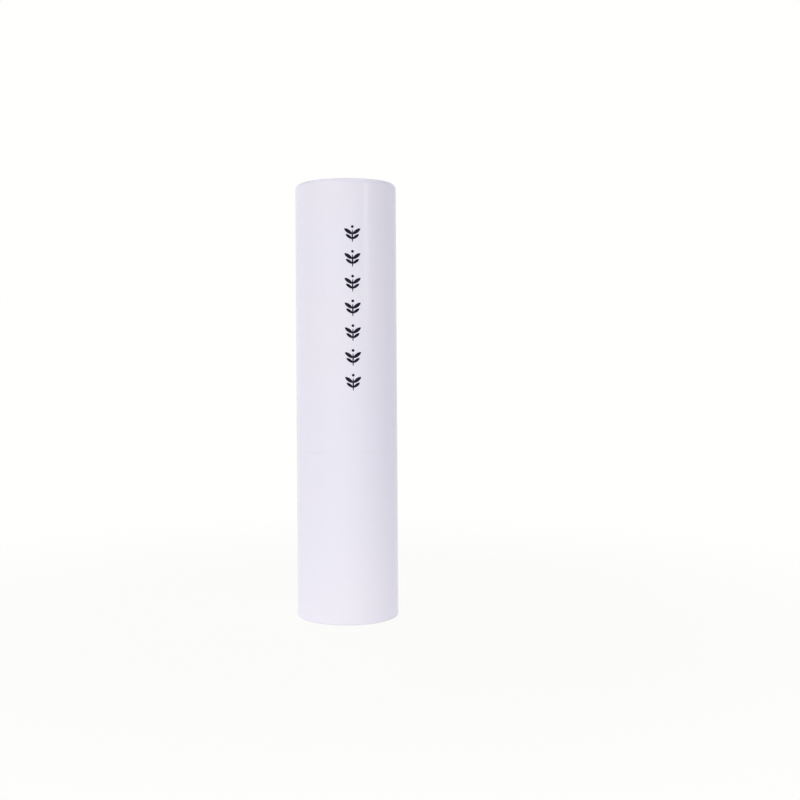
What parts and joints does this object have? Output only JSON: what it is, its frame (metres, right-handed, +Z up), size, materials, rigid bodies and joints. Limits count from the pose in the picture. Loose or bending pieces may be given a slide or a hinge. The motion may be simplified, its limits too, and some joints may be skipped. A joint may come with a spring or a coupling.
{
  "type": "twist-up lip balm stick",
  "caption": "Slim round twist-up lip balm stick with a pull-off cap, a turning collar and a balm that rises on a helical lift.",
  "frame": {"origin": "centre of the underside, on the surface that the stick stands on", "axes": "+Z up along the stick's axis, -Y out of the printed front of the cap"},
  "size_m": [0.0172, 0.0172, 0.073],
  "materials": {
    "case_plastic": "satin white plastic with a cool tint",
    "liner_plastic": "smooth white plastic",
    "works_plastic": "natural white moulded plastic",
    "cup_plastic": "white moulded plastic",
    "collar_metal": "satin anodised",
    "weight_steel": "tumbled zinc-plated steel",
    "balm_wax": "smooth soft wax, slightly waxy sheen",
    "print_ink": "thin dark blue-black ink"
  },
  "bodies": {
    "base": {"base_shell": "case_plastic", "base_liner": "liner_plastic", "base_weight": "weight_steel", "fork_tube": "works_plastic"},
    "cap": {"cap_shell": "case_plastic", "cap_liner": "liner_plastic"},
    "collar": {"collar_sleeve": "collar_metal", "spiral_sleeve": "works_plastic"},
    "lift": {"balm_cup": "cup_plastic", "balm": "balm_wax"}
  },
  "joints": [
    {"name": "cap_pull", "type": "slide", "parent": "base", "child": "cap", "axis": [0, 0, 1], "range_m": [0, 0.05]},
    {"name": "collar_twist", "type": "hinge", "parent": "base", "child": "collar", "pos_m": [0, 0, 0.0124], "axis": [0, 0, 1], "range_deg": [0, 552]},
    {"name": "balm_lift", "type": "slide", "parent": "base", "child": "lift", "axis": [0, 0, 1], "range_m": [0, 0.02305]}
  ],
  "couplings": [
    {"joint": "balm_lift", "follows": "collar_twist", "m_per_rad": 0.0023873}
  ]
}
